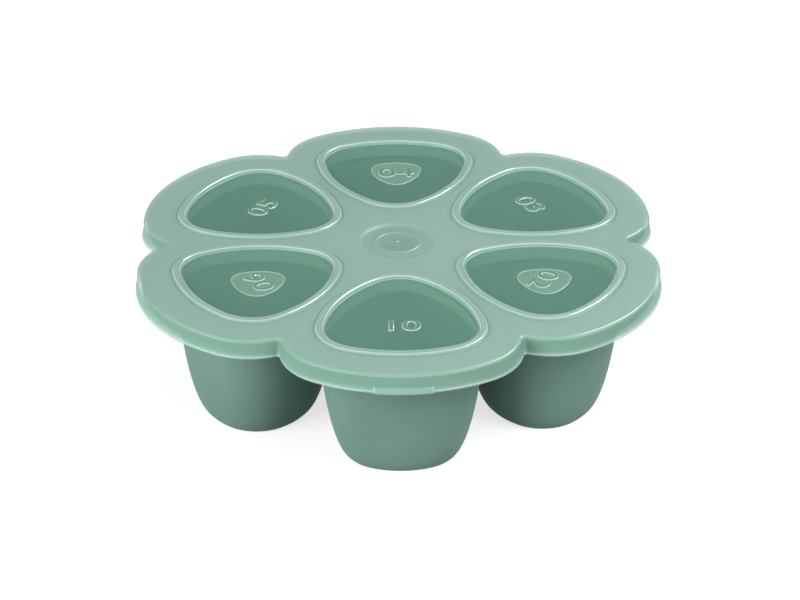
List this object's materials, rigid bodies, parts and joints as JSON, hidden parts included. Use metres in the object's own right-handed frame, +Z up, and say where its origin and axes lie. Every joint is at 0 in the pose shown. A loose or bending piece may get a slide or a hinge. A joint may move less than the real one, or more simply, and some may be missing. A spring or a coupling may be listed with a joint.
{
  "type": "baby food freezer tray",
  "caption": "Flower-shaped silicone tray of deep tapered portion cups for freezing baby food, under a translucent drop-on lid with a clear pane over each cup.",
  "frame": {"origin": "on the tray's axis, on the surface that the cup floors stand on", "axes": "+Z up along the tray's axis, out of the lid; -Y towards the front lobe, which carries the lid's thumb lip; +X to the right seen from the front"},
  "size_m": [0.2228, 0.2368, 0.0612],
  "materials": {
    "tray_silicone": "matte food-grade silicone, sage green",
    "lid_plastic": "colourless translucent plastic, frosted deck and polished panes"
  },
  "bodies": {
    "tray": {"tray": "tray_silicone"},
    "lid": {"lid": "lid_plastic"}
  },
  "joints": [
    {"name": "lid_lift", "type": "slide", "parent": "tray", "child": "lid", "axis": [0, 0, 1], "range_m": [0, 0.07]}
  ]
}
